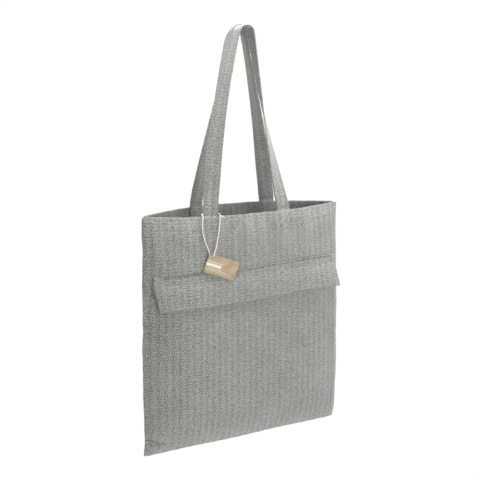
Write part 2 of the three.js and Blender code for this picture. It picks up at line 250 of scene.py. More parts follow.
def back_relief(u, d):
    x, inner = u * HALF_RIM, 1 - np.abs(u) ** 8
    out = 1.8 * noise(x, d * 0.6, 100, 21) + 0.6 * noise(x, d, 42, 22) + 0.18 * noise(x, d * 0.8, 16, 23)
    for centre, height, width in BACK_FOLDS:
        out = out + height * bump(x, centre * (1 + d / 900), width * (1 + d / 150)) * np.exp(-((d / 85) ** 2))
    return out * inner + seam_pucker(u, d, 31)


def panel(side):
    """The middle of a panel's cloth: u runs from -1 to 1 across it, and d is the depth below the rim."""

    def surface(u, d):
        s = d / HEIGHT
        ends = 1 - np.abs(u) ** BOW_POWER
        if side < 0:
            bow, dip, relief = FRONT_BOW * share(s, 0.3) ** 1.5, RIM_DIP * ends * (1 - s), front_relief(u, d)
        else:
            bow, dip, relief = BACK_BOW * share(s, 0.6) ** 2, 0, back_relief(u, d)
        # The rim drops a little at the side seams.
        dip = dip + 2.2 * np.exp(-d / 12) * smooth(np.abs(u), 0.965, 1.0)
        y = SEAM_Y + side * (SEAM_GAP + bow * ends + fullness(u, s) + relief * smooth(1 - np.abs(u), 0, 0.02))
        z = RIM_Z - d - dip + LIFT * smooth(d, 200, HEIGHT)
        return np.stack(np.broadcast_arrays(u * half_width(d) + edge_wave(u, d), y, z), -1)

    return surface


def on(surface, side, u, d, offset):
    """Points at a distance outwards from a surface."""
    u, d, offset = np.broadcast_arrays(*(np.asarray(v, float) for v in (u, d, offset)))
    du = surface(np.minimum(u + STEP_U, 1), d) - surface(np.maximum(u - STEP_U, -1), d)
    lower = np.minimum(d + STEP_D, HEIGHT)
    dd = surface(u, lower) - surface(u, lower - 2 * STEP_D)
    return surface(u, d) + side * unit(np.cross(du, dd)) * offset[..., None]


front, back = panel(-1), panel(1)


def panel_at(side):
    return front if side < 0 else back


def pocket_surface(u, d):
    """The middle of the pocket's cloth, which lies off the front by its own room."""
    close = np.clip((d / HEIGHT - 0.8) / 0.2, 0, 1)
    room = (3.9 + 1.4 * smooth(d, 150, 230)) * (1 - close**2) * (1 - smooth(np.abs(u), 0.5, 0.92))
    own = 0.3 + 0.4 * noise(u * HALF_RIM, d, 55, 41) + 0.12 * noise(u * HALF_RIM, d, 17, 42)
    return on(front, -1, u, d, 1.45 + room + own * (1 - np.abs(u) ** 6) * (1 - close))


def columns(count, end=1.0):
    """Places across a sheet, closer together towards its ends."""
    return np.sin(np.linspace(-1, 1, count) * math.asin(end))


def profile(depth, outer, inner):
    """The closed line round a sheet's thickness, from its depths, bottom first, and its faces' offsets. It is
    rounded at the last depth. Returns its depths, its offsets and the distance along the cloth."""
    middle, radius = (outer[-1] + inner[-1]) / 2, (outer[-1] - inner[-1]) / 2
    turn = np.linspace(0, np.pi, EDGE_ROLL + 2)[1:-1]
    d = np.concatenate([depth, depth[-1] - radius * np.sin(turn), depth[::-1]])
    offset = np.concatenate([outer, middle + radius * np.cos(turn), inner[::-1]])
    inside = 2 * -depth[-1] + np.pi * radius + depth[::-1]
    along = np.concatenate([-depth, -depth[-1] + radius * turn, inside])
    return d, offset, along


def panel_sheet(name, surface, side, material):
    depth = np.unique(np.concatenate([
        np.linspace(1.2, 40, 21), np.linspace(40, 90, 15), np.linspace(90, 97, 6), np.linspace(97, 99, 9),
        np.linspace(99, 380, 82), np.linspace(380, 420, 18),
    ]))[::-1]
    hem = smooth(HEM + 0.8 - depth, 0, 0.8)
    pucker = bump(depth, HEM_STITCH, 1.6)
    inner = -CLOTH_HALF - RIM_HEM_THICK * hem + 0.15 * pucker
    d, offset, along = profile(depth, CLOTH_HALF - 0.22 * pucker, inner)
    u = columns(131)
    if side < 0:
        # Rows follow the flap's line where it lies.
        near = smooth(d, 25, 80) * (1 - smooth(d, 200, 300))
        d_at = d[None] + (level(u[:, None], d[None]) - d[None]) * near[None]
    else:
        d_at = np.broadcast_to(d[None], (len(u), len(d)))
    rings = on(surface, side, u[:, None], d_at, offset[None])
    ripple = 0.16 * np.sin(u[:, None] * HALF_RIM / 1.35) * bump(d[None], HEM_STITCH, 5)
    rings[..., 1] += side * ripple
    uvs = pairs(u[:, None] * HALF_RIM, np.append(along, along[0])[None])
    return outward(loft(name, rings, uvs, material))


def pocket_sheet(material):
    depth = np.unique(np.concatenate([
        np.linspace(POCKET_TOP + 1, 165, 13), np.linspace(165, 380, 62), np.linspace(380, 420, 16),
    ]))[::-1]
    hem = smooth(POCKET_TOP + POCKET_HEM + 0.8 - depth, 0, 0.8)
    d, offset, along = profile(depth, np.full(depth.shape, CLOTH_HALF), -CLOTH_HALF - POCKET_HEM_THICK * hem)
    u = columns(131)
    rings = on(pocket_surface, -1, u[:, None], d[None], offset[None])
    uvs = pairs(u[:, None] * HALF_RIM + 4, np.append(along, along[0])[None] + 31)
    return outward(loft("pocket_cloth", rings, uvs, material))


# How far the flap's middle lies off the panel where it is sewn, and how much further at its fold line.
BAND, FLAP_LIFT = 2.03, 2.6


def flap_surface(u, v):
    """The flap's middle: v is the distance down the cloth from its fold line, negative on the sewn edge."""
    u, v = np.broadcast_arrays(np.asarray(u, float), np.asarray(v, float))
    lift = FLAP_LIFT * np.clip(1 + v / (FOLD - FLAP_TOP), 0, 1)
    sewn = on(front, -1, u, level(u, FOLD + np.minimum(v, 0)), BAND + lift)
    x = u * HALF_RIM
    stand = np.maximum(u / FLAP_END, 0) ** 4
    sway = 1.2 * noise(x, 0, 60, 51) + 0.8 * noise(x, 0, 24, 52)
    hang = np.radians(FLAP_HANG + HANG_RIGHT * stand + HANG_LEFT * bump(u, -0.6, 0.3) + sway)
    t = np.maximum(v, 0)
    out = t * np.sin(hang) - FLAP_IN * smooth(t, 8, 52) * (1 - stand)
    belly = 0.3 * noise(x, t * 1.5, 22, 53) * smooth(t, 2, 14)
    # Its left edge runs in towards the hem, and both lower corners curl a little.
    sewn[..., 0] += t / FLAP_LENGTH * (9.0 * smooth(-u, 0.75, FLAP_END) + 0.8 * u)
    sewn[..., 1] -= out + belly + 0.8 * smooth(np.abs(u), 0.83, FLAP_END) * smooth(t, 16, FLAP_LENGTH)
    sewn[..., 2] -= t * np.cos(hang)
    return sewn


def on_flap(u, v, offset):
    """Points at a distance outwards from the flap's middle."""
    u, v, offset = np.broadcast_arrays(*(np.asarray(a, float) for a in (u, v, offset)))
    end = FLAP_END
    du = flap_surface(np.minimum(u + STEP_U, end), v) - flap_surface(np.maximum(u - STEP_U, -end), v)
    dv = flap_surface(u, v + STEP_V) - flap_surface(u, v - STEP_V)
    return flap_surface(u, v) - unit(np.cross(du, dv)) * offset[..., None]


def flap_sheet(material):
    v = np.unique(np.concatenate([
        np.linspace(FLAP_TOP - FOLD + 0.4, 0, 13),
        np.linspace(0, 8, 9),
        np.linspace(8, FLAP_LENGTH - 1.2, 18),
    ]))
    stitched = bump(v, ROW_ONE - FOLD, 1.2) + bump(v, ROW_TWO - FOLD, 1.2)
    thick = 1.15 - 0.27 * stitched + 0.25 * bump(v, FLAP_LENGTH - 3, 4)
    turn = np.linspace(0, np.pi, 8)[1:-1]
    low, high = thick[-1], thick[0]
    place = np.concatenate([v, v[-1] + low * np.sin(turn), v[::-1], v[0] - high * np.sin(turn)])
    offset = np.concatenate([thick, low * np.cos(turn), -thick[::-1], -high * np.cos(turn)])
    steps = np.hypot(np.diff(np.append(place, place[0])), np.diff(np.append(offset, offset[0])))
    along = np.concatenate([[0], np.cumsum(steps)])
    u = columns(121, FLAP_END)
    rings = on_flap(u[:, None], place[None], offset[None])
    rows = bump(place[None], ROW_ONE - FOLD, 3) + bump(place[None], ROW_TWO - FOLD, 3)
    rings[..., 1] -= 0.14 * np.sin(u[:, None] * HALF_RIM / 1.3) * rows
    # The rings start in the middle of an edge, so that their points face each other through the thickness.
    uvs = pairs(u[:, None] * HALF_RIM + 2.5, -along[None] - 7)
    half = len(turn) // 2
    rings = np.roll(rings, half, axis=1)
    whole = np.array([0, -along[-1]])
    uvs = np.concatenate([uvs[:, -1 - half:-1] - whole, uvs[:, :len(place) - half + 1]], 1)
    return outward(loft("flap_cloth", rings, uvs, material))


# ---- Handles ----

# Each handle: its panel's side, how far it sways, the y and z where it passes the rim, and for its left (-1)
# and right (1) leg how late the tape turns edge-on and how far it swells sideways.
LEGS = {
    "front": {"side": -1, "sway": 5, "root": (-27.31, -306.36), -1: (1.35, 8), 1: (1.65, -2)},
    "back": {"side": 1, "sway": 0, "root": (34.99, -299.31), -1: (1.5, 2.2), 1: (2.4, 3.8)},
}


def strap_centre(spec, k):
    """The middle of the strap: k runs from -1 at the left root over the top to 1 at the right."""
    side = spec["side"]
    t, sign = 1 - np.abs(k), np.where(k < 0, -1, 1)
    swell = np.where(k < 0, spec[-1][1], spec[1][1])
    root_y, root_z = spec["root"]
    centre_z = STRAP_THICK / 2 - STRAP_RADIUS
    reach = math.hypot(STRAP_ROOT, root_z - centre_z)
    tangent = math.atan2(root_z - centre_z, STRAP_ROOT) + math.acos(STRAP_RADIUS / reach)
    end_x, end_z = STRAP_RADIUS * math.cos(tangent), centre_z + STRAP_RADIUS * math.sin(tangent)
    straight = math.hypot(end_x - STRAP_ROOT, end_z - root_z)
    total = straight + STRAP_RADIUS * (math.pi / 2 - tangent)
    run = t * total
    f = np.clip(run / straight, 0, 1)
    angle = tangent + np.maximum(run - straight, 0) / STRAP_RADIUS
    x = np.where(run < straight, STRAP_ROOT + (end_x - STRAP_ROOT) * f, STRAP_RADIUS * np.cos(angle))
    z = np.where(run < straight, root_z + (end_z - root_z) * f, centre_z + STRAP_RADIUS * np.sin(angle))
    wave = np.sin(np.pi * t)
    y = root_y + (side * (STRAP_WIDTH / 2 + 0.5) - root_y) * t - side * spec["sway"] * wave
    y = y + 0.5 * noise(t * 300, 100 * sign, 55, 61 + side) * wave
    x = sign * (x + swell * wave) + 0.5 * noise(t * 300, 100 * sign, 70, 64 + side) * wave
    return np.stack([x, y, z], -1)


def strap_points(spec, k, across, height):
    """Points of the strap: across its width and up from its middle plane, both in mm."""
    side = spec["side"]
    centre = strap_centre(spec, k)
    behind, ahead = (strap_centre(spec, np.clip(k + step, -1, 1)) for step in (-0.004, 0.004))
    along = unit(ahead - behind)
    sign = np.where(k < 0, -1, 1)
    power = np.where(k < 0, spec[-1][0], spec[1][0])
    turned = np.pi / 2 * (1 - np.abs(k) ** power)
    width = np.stack([-side * sign * np.cos(turned), np.sin(turned), 0 * k], -1)
    square = np.clip((1 - np.abs(k)) / 0.05, 0, 1)[:, None]
    width = unit(width - along * square * (width * along).sum(-1, keepdims=True))
    normal = unit(np.cross(along, width))[:, None]
    points = centre[:, None] + width[:, None] * across[None, :, None] + normal * height[None, :, None]
    # Near the rim the strap follows the rim's curve.
    surface = panel_at(side)
    fade = (1 - smooth(1 - np.abs(k), 0, 0.12))[:, None]
    there = surface(np.clip(points[..., 0] / HALF_RIM, -1, 1), np.full(points.shape[:2], 2.0))[..., 1]
    here = surface(sign * STRAP_ROOT / HALF_RIM, np.full(k.shape, 2.0))[:, None, 1]
    points[..., 1] += (there - here) * fade
    if side > 0:
        # Over the top its far edge droops, and its near edge stands a little behind the front strap.
        droop = 0.85 * (1 - smooth(np.abs(k), 0.015, 0.115))[:, None]
        far = np.maximum(across, 0)[None]
        points[..., 1] -= far * (1 - np.cos(droop))
        points[..., 2] += 2.2 * droop - far * np.sin(droop)
        aside = (1.9 * bump(k, 0.175, 0.03) + 0.5 * bump(k, 0.09, 0.05))[:, None]
        points -= normal * (aside * smooth(-across, 3, 11)[None])[..., None]
    return points


# The strap's outline, one face and then the other: folded rounded edges, and grooves where they are sewn.
HALF = STRAP_WIDTH / 2
SECTION_X = np.array([-HALF, -HALF + 0.5, -HALF + 1.6, -HALF + 3.1, -HALF + 4.4, -6, -2,
                      2, 6, HALF - 4.4, HALF - 3.1, HALF - 1.6, HALF - 0.5, HALF])
SECTION_H = np.array([0.35, 0.95, 1.3, 0.9, 1.15, 1.1, 1.05, 1.05, 1.1, 1.15, 0.9, 1.3, 0.95, 0.35])
GROOVE = HALF - 3.1


def strap_end(side, sign, across, height):
    """The end of a strap that is sewn inside the rim, from its lower edge up."""
    depth = np.linspace(STRAP_END, 2.5, 14)[:, None]
    u = (sign * STRAP_ROOT - side * sign * across)[None] / HALF_RIM
    middle = -CLOTH_HALF - RIM_HEM_THICK - 0.15 - STRAP_THICK / 2
    return on(panel_at(side), side, u, depth, middle - height[None])


def whole_strap(spec, across, height):
    """Rings of points from the left sewn end over the top to the right one. height is positive towards the
    inside of the handle's loop, which is the inside of the bag at the rim."""
    even = np.linspace(-1, 1, 231)
    ks = np.sign(even) * np.abs(even) ** 1.35
    ks = ks[np.abs(ks) < 0.988]
    loop = strap_points(spec, ks, across, height)
    left = strap_end(spec["side"], -1, across, height)
    right = strap_end(spec["side"], 1, across, height)[::-1]
    # Closer rings at the rim, between each sewn end and the loop.
    share_up = np.linspace(0, 1, 8)[1:-1, None, None]
    up = left[-1] + (loop[0] - left[-1]) * share_up
    down = loop[-1] + (right[0] - loop[-1]) * share_up
    return np.concatenate([left, up, loop, down, right])


def handle(name, spec, material):
    across = np.concatenate([SECTION_X, SECTION_X[::-1]])
    height = np.concatenate([SECTION_H, -SECTION_H[::-1]])
    rings = whole_strap(spec, across, height)
    along = run_along(rings.mean(1))
    rings[..., 1] += 0.12 * np.sin(along[:, None] / 1.35) * bump(np.abs(across)[None], GROOVE, 2.0)
    round_it = np.concatenate([SECTION_X, 2 * HALF - SECTION_X[::-1], [3 * HALF]])
    uvs = pairs(round_it[None] + 5, along[:, None])
    return outward(loft(name, rings, uvs, material)), along[-1]


def handle_seams(name, spec, material):
    """The two rows of stitches along a strap, on both of its faces."""
    runs = []
    for x in (-GROOVE, GROOVE):
        for face in (-1, 1):
            at = whole_strap(spec, np.array([x, x]), np.array([0.92, 1.92]) * face)
            runs.append((at[:, 0], unit(at[:, 1] - at[:, 0])))
    return stitches(name, runs, material, pitch=4.2, length=3.2, radius=0.3)


# ---- Threads and cords ----

def run_along(path):
    """The distance along a path at each of its points."""
    return np.concatenate([[0], np.cumsum(np.linalg.norm(np.diff(path, axis=0), axis=1))])


def tube(name, path, radius, material, sides, twist, depth):
    """A cord of three strands along a path in mm: twist is the length of one turn, depth is its grooves'."""
    along = run_along(path)
    tangent = unit(np.gradient(path, axis=0))
    normal = np.zeros_like(path)
    normal[0] = unit(np.cross(tangent[0], [0.3, 0.9, 0.2]))
    for i in range(1, len(path)):
        n = normal[i - 1] - tangent[i] * (normal[i - 1] @ tangent[i])
        normal[i] = unit(n)
    binormal = np.cross(tangent, normal)
    a = np.linspace(0, 2 * np.pi, sides, endpoint=False)[None]
    turned = 3 * (a - 2 * np.pi * along[:, None] / twist / 3)
    r = radius * (1 - depth / 2 + depth / 2 * np.cos(turned))
    out, side = (r * np.cos(a))[..., None], (r * np.sin(a))[..., None]
    rings = path[:, None] + normal[:, None] * out + binormal[:, None] * side
    uvs = pairs(np.linspace(0, 2 * np.pi * radius, sides + 1)[None], along[:, None])
    return outward(loft(name, rings, uvs, material))


def resampled(points, step):
    """The same line with points at even steps."""
    along = run_along(points)
    at = np.linspace(0, along[-1], max(2, int(round(along[-1] / step)) + 1))
    return np.stack([np.interp(at, along, points[:, i]) for i in range(points.shape[1])], -1)


def spline(points, per):
    """A smooth line through the points (centripetal Catmull-Rom), with per steps between two of them."""
    p = np.asarray(points, float)
    p = np.concatenate([[2 * p[0] - p[1]], p, [2 * p[-1] - p[-2]]])
    out = []
    for i in range(1, len(p) - 2):
        a, b, c, d = p[i - 1 : i + 3]
        t1 = np.linalg.norm(b - a) ** 0.5
        t2 = t1 + np.linalg.norm(c - b) ** 0.5
        t3 = t2 + np.linalg.norm(d - c) ** 0.5
        t = np.linspace(t1, t2, per, endpoint=False)[:, None]
        a1 = (t1 - t) / t1 * a + t / t1 * b
        a2 = (t2 - t) / (t2 - t1) * b + (t - t1) / (t2 - t1) * c
        a3 = (t3 - t) / (t3 - t2) * c + (t - t2) / (t3 - t2) * d
        b1 = (t2 - t) / t2 * a1 + t / t2 * a2
        b2 = (t3 - t) / (t3 - t1) * a2 + (t - t1) / (t3 - t1) * a3
        out.append((t2 - t) / (t2 - t1) * b1 + (t - t1) / (t2 - t1) * b2)
    return np.concatenate(out + [p[-2:-1]])


def stitches(name, runs, material, pitch=4.0, length=3.1, radius=0.34):
    """Rows of separate stitches. Each run is (points, outward normals), both along the row."""
    points, faces, uvs = [], [], []
    n_round, n_long = 6, 5
    a = np.linspace(0, 2 * np.pi, n_round, endpoint=False)
    cos_a, sin_a = np.cos(a)[:, None], np.sin(a)[:, None]
    # Along each stitch: where its rings are, how high they lie, and how thick they are.
    at, high, wide = (np.array(v) for v in ((0.0, 0.14, 0.5, 0.86, 1.0), (-0.6, 0.15, 0.45, 0.15, -0.6),
                                            (0.25, 0.85, 1.0, 0.85, 0.25)))
    for line, normals in runs:
        both = resampled(np.concatenate([line, normals], 1), 0.5)
        line, normals = both[:, :3], unit(both[:, 3:])
        along = run_along(line)
        count = max(1, int(along[-1] // pitch))
        starts = (np.arange(count) + 0.5) * along[-1] / count - length / 2
        for s in starts:
            t = s + length * at
            c = np.stack([np.interp(t, along, line[:, i]) for i in range(3)], -1)
            n = unit(np.stack([np.interp(t, along, normals[:, i]) for i in range(3)], -1))
            lift, size = radius * high, radius * wide
            forward = unit(c[-1] - c[0])
            b = unit(np.cross(forward, n))
            base = len(points) * n_round
            for j in range(n_long):
                points.append(c[j] + n[j] * lift[j] + size[j] * (cos_a * n[j] + sin_a * b[j]))
            for j in range(n_long - 1):
                row = base + j * n_round
                for i in range(n_round):
                    k = (i + 1) % n_round
                    faces.append((row + i, row + k, row + n_round + k, row + n_round + i))
                    uvs += [(i, t[j]), (i + 1, t[j]), (i + 1, t[j + 1]), (i, t[j + 1])]
            last = base + (n_long - 1) * n_round
            faces.append(tuple(base + i for i in reversed(range(n_round))))
            faces.append(tuple(last + i for i in range(n_round)))
            uvs += [(0, 0)] * 2 * n_round
    return make_mesh(name, np.concatenate(points), faces, uvs, material)


def row_on(surface, side, u, d, rise):
    """A row's points and outward normals, at that height over a surface."""
    d = np.broadcast_to(np.asarray(d, float), u.shape)
    line = on(surface, side, u, d, rise)
    return line, unit(on(surface, side, u, d, rise + 1) - line)


# ---- Materials ----

def new_material(name):
    material = bpy.data.materials.new(name)
    material.use_nodes = True
    nodes, links = material.node_tree.nodes, material.node_tree.links
    nodes.clear()
    out = nodes.new("ShaderNodeOutputMaterial")
    shader = nodes.new("ShaderNodeBsdfPrincipled")
    links.new(shader.outputs[0], out.inputs[0])
    return material, nodes, links, shader


class Graph:
    """Short ways to write shader maths."""

    def __init__(self, nodes, links):
        self.nodes, self.links = nodes, links

    def put(self, socket, value):
        if isinstance(value, (int, float, tuple)):
            socket.default_value = value
        else:
            self.links.new(value, socket)

    def math(self, operation, a, b=0.0, c=0.0):
        node = self.nodes.new("ShaderNodeMath")
        node.operation = operation
        for socket, value in zip(node.inputs, (a, b, c)):
            self.put(socket, value)
        return node.outputs[0]

    def cloth(self):
        node = self.nodes.new("ShaderNodeUVMap")
        node.uv_map = "cloth"
        split = self.nodes.new("ShaderNodeSeparateXYZ")
        self.links.new(node.outputs[0], split.inputs[0])
        x, y = (self.math("MULTIPLY", split.outputs[i], 1000.0) for i in (0, 1))
        return x, y

    def joined(self, x, y, z=0.0):
        node = self.nodes.new("ShaderNodeCombineXYZ")
        for socket, value in zip(node.inputs, (x, y, z)):
            self.put(socket, value)
        return node.outputs[0]

    def noise(self, vector, scale, detail=2.0, roughness=0.5):
        node = self.nodes.new("ShaderNodeTexNoise")
        node.inputs["Scale"].default_value = scale
        node.inputs["Detail"].default_value = detail
        node.inputs["Roughness"].default_value = roughness
        self.links.new(vector, node.inputs["Vector"])
        return node.outputs["Fac"]

    def mix(self, factor, a, b):
        node = self.nodes.new("ShaderNodeMix")
        node.data_type = "RGBA"
        self.put(node.inputs[0], factor)
        self.put(node.inputs[6], a)
        self.put(node.inputs[7], b)
        return node.outputs[2]

    def remap(self, value, a, b, low, high):
        node = self.nodes.new("ShaderNodeMapRange")
        for socket, v in zip(node.inputs, (value, a, b, low, high)):
            self.put(socket, v)
        return node.outputs[0]

    def wave(self, value):
        """A triangle wave from 0 to 1 and back with a period of 1."""
        return self.math("MULTIPLY", self.math("PINGPONG", value, 0.5), 2.0)

    def bump(self, height, distance, strength):
        node = self.nodes.new("ShaderNodeBump")
        node.inputs["Strength"].default_value = strength
        node.inputs["Distance"].default_value = distance
        self.links.new(height, node.inputs["Height"])
        return node.outputs[0]


# The width of a herringbone stripe, and the spacing of its twill lines and its yarns.
STRIPE, TWILL, YARN = 5.8, 2.7, 0.62


def herringbone(name, dark, light):
    """Brushed cotton in two greys of yarn: twill that turns about at each stripe, uneven yarn and pilling."""
    material, nodes, links, shader = new_material(name)
    g = Graph(nodes, links)
    x, y = g.cloth()
    wobble = g.noise(g.joined(x, y), 0.03, 1.0)
    x_w = g.math("ADD", x, g.math("MULTIPLY", wobble, 3.0))
    index = g.math("FLOOR", g.math("DIVIDE", x_w, STRIPE))
    odd = g.math("FLOORED_MODULO", index, 2.0)
    climb = g.math("MULTIPLY", g.math("PINGPONG", x_w, STRIPE), 1.1)
    phase = g.math("DIVIDE", g.math("ADD", y, climb), TWILL)
    twill = g.wave(phase)
    pick = g.wave(g.math("DIVIDE", y, TWILL * 2))
    yarn = g.wave(g.math("DIVIDE", x, YARN))
    fleck = g.noise(g.joined(x, y), 0.62, 2.0, 0.7)
    fibre = g.noise(g.joined(x, y, 9.0), 2.6, 2.0, 0.6)
    slub_x = g.noise(g.joined(x, g.math("MULTIPLY", y, 0.2)), 0.5, 1.0)
    slub_y = g.noise(g.joined(g.math("MULTIPLY", x, 0.15), y), 0.5, 1.0)
    broad = g.noise(g.joined(x, y, 3.0), 0.022, 2.0)
    patch = g.noise(g.joined(x, y, 6.0), 0.15, 1.0)
    shade = g.remap(odd, 0.0, 1.0, 0.45, 0.55)
    for value, a, b, reach in ((twill, 0.15, 0.85, 0.11), (yarn, 0.0, 1.0, 0.05), (pick, 0.0, 1.0, 0.065),
                               (fleck, 0.25, 0.75, 0.98), (fibre, 0.3, 0.7, 0.25), (slub_x, 0.3, 0.7, 0.05),
                               (slub_y, 0.3, 0.7, 0.07), (broad, 0.3, 0.7, 0.05), (patch, 0.3, 0.7, 0.06)):
        shade = g.math("ADD", shade, g.remap(value, a, b, -reach, reach))
    node = nodes.new("ShaderNodeClamp")
    links.new(shade, node.inputs[0])
    links.new(g.mix(node.outputs[0], (*dark, 1), (*light, 1)), shader.inputs["Base Color"])
    height = g.math("ADD", g.math("MULTIPLY", twill, 0.35), g.math("MULTIPLY", fleck, 0.95))
    height = g.math("ADD", height, g.math("MULTIPLY", yarn, 0.2))
    links.new(g.bump(height, 0.0005, 0.55), shader.inputs["Normal"])
    links.new(g.remap(fleck, 0.2, 0.8, 0.98, 0.84), shader.inputs["Roughness"])
    shader.inputs["Specular IOR Level"].default_value = 0.15
    shader.inputs["Sheen Weight"].default_value = 0.25
    shader.inputs["Sheen Roughness"].default_value = 0.6
    return material


def yarn_material(name, colour, spread=0.12):
    material, nodes, links, shader = new_material(name)
    g = Graph(nodes, links)
    x, y = g.cloth()
    strand = g.math("PINGPONG", g.math("ADD", g.math("MULTIPLY", y, 1.1), x), 0.5)
    fuzz = g.noise(g.joined(x, y), 2.2, 2.0)
    value = g.math("ADD", g.math("MULTIPLY", strand, 0.8), g.math("MULTIPLY", fuzz, 0.6))
    dark = tuple(c * (1 - spread * 1.5) for c in colour)
    light = tuple(min(1, c * (1 + spread)) for c in colour)
    links.new(g.mix(value, (*dark, 1), (*light, 1)), shader.inputs["Base Color"])
    links.new(g.bump(value, 0.0002, 0.5), shader.inputs["Normal"])
    shader.inputs["Roughness"].default_value = 0.85
    shader.inputs["Specular IOR Level"].default_value = 0.2
    shader.inputs["Sheen Weight"].default_value = 0.2
    return material


# Pale bars in the place of printed words: centre and half size in mm, from the tag's hole.
BARS = ((8.5, -12.6, 14.0, 2.3), (12.0, -6.6, 17.0, 0.45), (10.0, -8.2, 15.0, 0.4), (9.5, -17.4, 15.0, 0.45),
        (14.5, -19.8, 20.0, 0.45), (16.5, -22.2, 22.0, 0.4))


def card_material(name):
    material, nodes, links, shader = new_material(name)
    g = Graph(nodes, links)
    x, y = g.cloth()
    fibre = g.noise(g.joined(g.math("MULTIPLY", x, 0.5), g.math("MULTIPLY", y, 1.6)), 1.2, 3.0, 0.6)
    fleck = g.noise(g.joined(g.math("MULTIPLY", x, 1.4), y, 5.0), 2.6, 1.0)
    cloud = g.noise(g.joined(x, y), 0.06, 2.0)
    shade = g.math("ADD", g.remap(fibre, 0.3, 0.7, -0.25, 0.25), g.remap(cloud, 0.3, 0.7, 0.2, 0.8))
    colour = g.mix(shade, (0.38, 0.29, 0.17, 1), (0.60, 0.49, 0.33, 1))
    colour = g.mix(g.remap(fleck, 0.66, 0.74, 0.0, 0.5), colour, (0.27, 0.18, 0.09, 1))
    print_on = 0.0
    for cx, cy, half_x, half_y in BARS:
        in_x, in_y = (g.remap(g.math("ABSOLUTE", g.math("SUBTRACT", at, centre)), half, half + 0.3, 1.0, 0.0)
                      for at, centre, half in ((x, cx, half_x), (y, cy, half_y)))
        bar = g.math("MULTIPLY", in_x, in_y)
        if half_y < 1:
            bar = g.math("MULTIPLY", bar, 0.45)
        print_on = g.math("MAXIMUM", print_on, bar)
    colour = g.mix(g.math("MULTIPLY", print_on, 0.95), colour, (0.92, 0.89, 0.82, 1))
    links.new(colour, shader.inputs["Base Color"])
    links.new(g.bump(fibre, 0.0002, 0.35), shader.inputs["Normal"])
    links.new(g.remap(fibre, 0.2, 0.8, 0.62, 0.8), shader.inputs["Roughness"])
    shader.inputs["Specular IOR Level"].default_value = 0.3
    return material


cloth = herringbone("grey_herringbone", (0.075, 0.077, 0.066), (0.54, 0.55, 0.515))
thread = yarn_material("grey_thread", (0.25, 0.255, 0.235))
string_white = yarn_material("white_string", (0.86, 0.845, 0.80), 0.08)
card = card_material("kraft_card")


# ---- Camera ----

LENS, SENSOR = 58.14, 36.0
CAMERA_PLACE, CAMERA_TURN, CAMERA_DOWN = (-0.58209, -1.19146, -0.07874), 26.0, 12.01


def make_camera():
    data = bpy.data.cameras.new("camera")
    data.lens, data.sensor_width = LENS, SENSOR
    data.clip_start, data.clip_end = 0.05, 60
    camera = placed("camera", data)
    turn, down = math.radians(CAMERA_TURN), math.radians(CAMERA_DOWN)
    forward = (math.sin(turn) * math.cos(down), math.cos(turn) * math.cos(down), -math.sin(down))
    aimed(camera, CAMERA_PLACE, forward)
    bpy.context.scene.camera = camera


make_camera()


# ---- The tag's string ----

# The loop behind the front strap's root, and the two strands down to the card's hole and up again.
LOOP = ((-54.1, -33.3, -308.1), (-54.1, -32.0, -306.0), (-54.1, -29.0, -304.9), (-54.9, -26.2, -304.6),
        (-57.2, -24.2, -304.6), (-62.0, -23.7, -304.6), (-69.5, -23.7, -304.6), (-77.0, -23.7, -304.6),
        (-81.8, -24.2, -304.6), (-84.3, -26.2, -304.6), (-85.0, -29.0, -304.9), (-85.1, -32.0, -306.0),
        (-85.1, -33.3, -308.1))
STRANDS = ((-54.4, -33.6, -310.0), (-56.2, -37.0, -317.0), (-59.4, -41.0, -329.0), (-62.6, -42.9, -343.0),
           (-65.9, -44.4, -356.0), (-69.1, -45.3, -365.0), (-71.9, -46.5, -371.4), (-74.8, -44.4, -374.2),
           (-77.3, -42.4, -371.2), (-79.3, -42.2, -364.0), (-83.6, -41.8, -353.0), (-87.0, -40.4, -341.0),
           (-88.4, -38.2, -329.0), (-87.4, -35.6, -317.0), (-85.3, -33.6, -310.0))


def tag_string():
    route = spline([(-53.6, -33.8, -308.6)] + list(STRANDS) + list(reversed(LOOP)), 10)
    route = resampled(route, 0.55)
    piece = tube("tag_cord", route, 0.95, string_white, sides=12, twist=7.5, depth=0.22)
    length = float(run_along(route)[-1])
    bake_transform(piece)
    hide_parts("tag_string", "tag_string_loop")
    return piece, route, length


def string_knot():
    """A trefoil knot with one short free tail."""
    t = np.linspace(0, 2 * np.pi, 90)
    r = 1.25
    loops = np.stack([r * (np.sin(t) + 1.6 * np.sin(2 * t)) * 0.5, r * 0.7 * np.sin(3 * t),
                      r * (np.cos(t) - 1.6 * np.cos(2 * t)) * 0.5], -1)
    tail = spline([(0.6, -0.2, 0.2), (2.2, -0.6, 0.3), (4.0, -1.2, -0.5), (5.4, -1.6, -2.0)], 8)
    path = np.concatenate([loops, tail]) + (-52.6, -34.3, -309.0)
    knot = tube("cord_knot", path, 0.72, string_white, sides=10, twist=6.0, depth=0.2)
    return ride(knot, "bag", "white_cotton_string", "tag_string_knot")


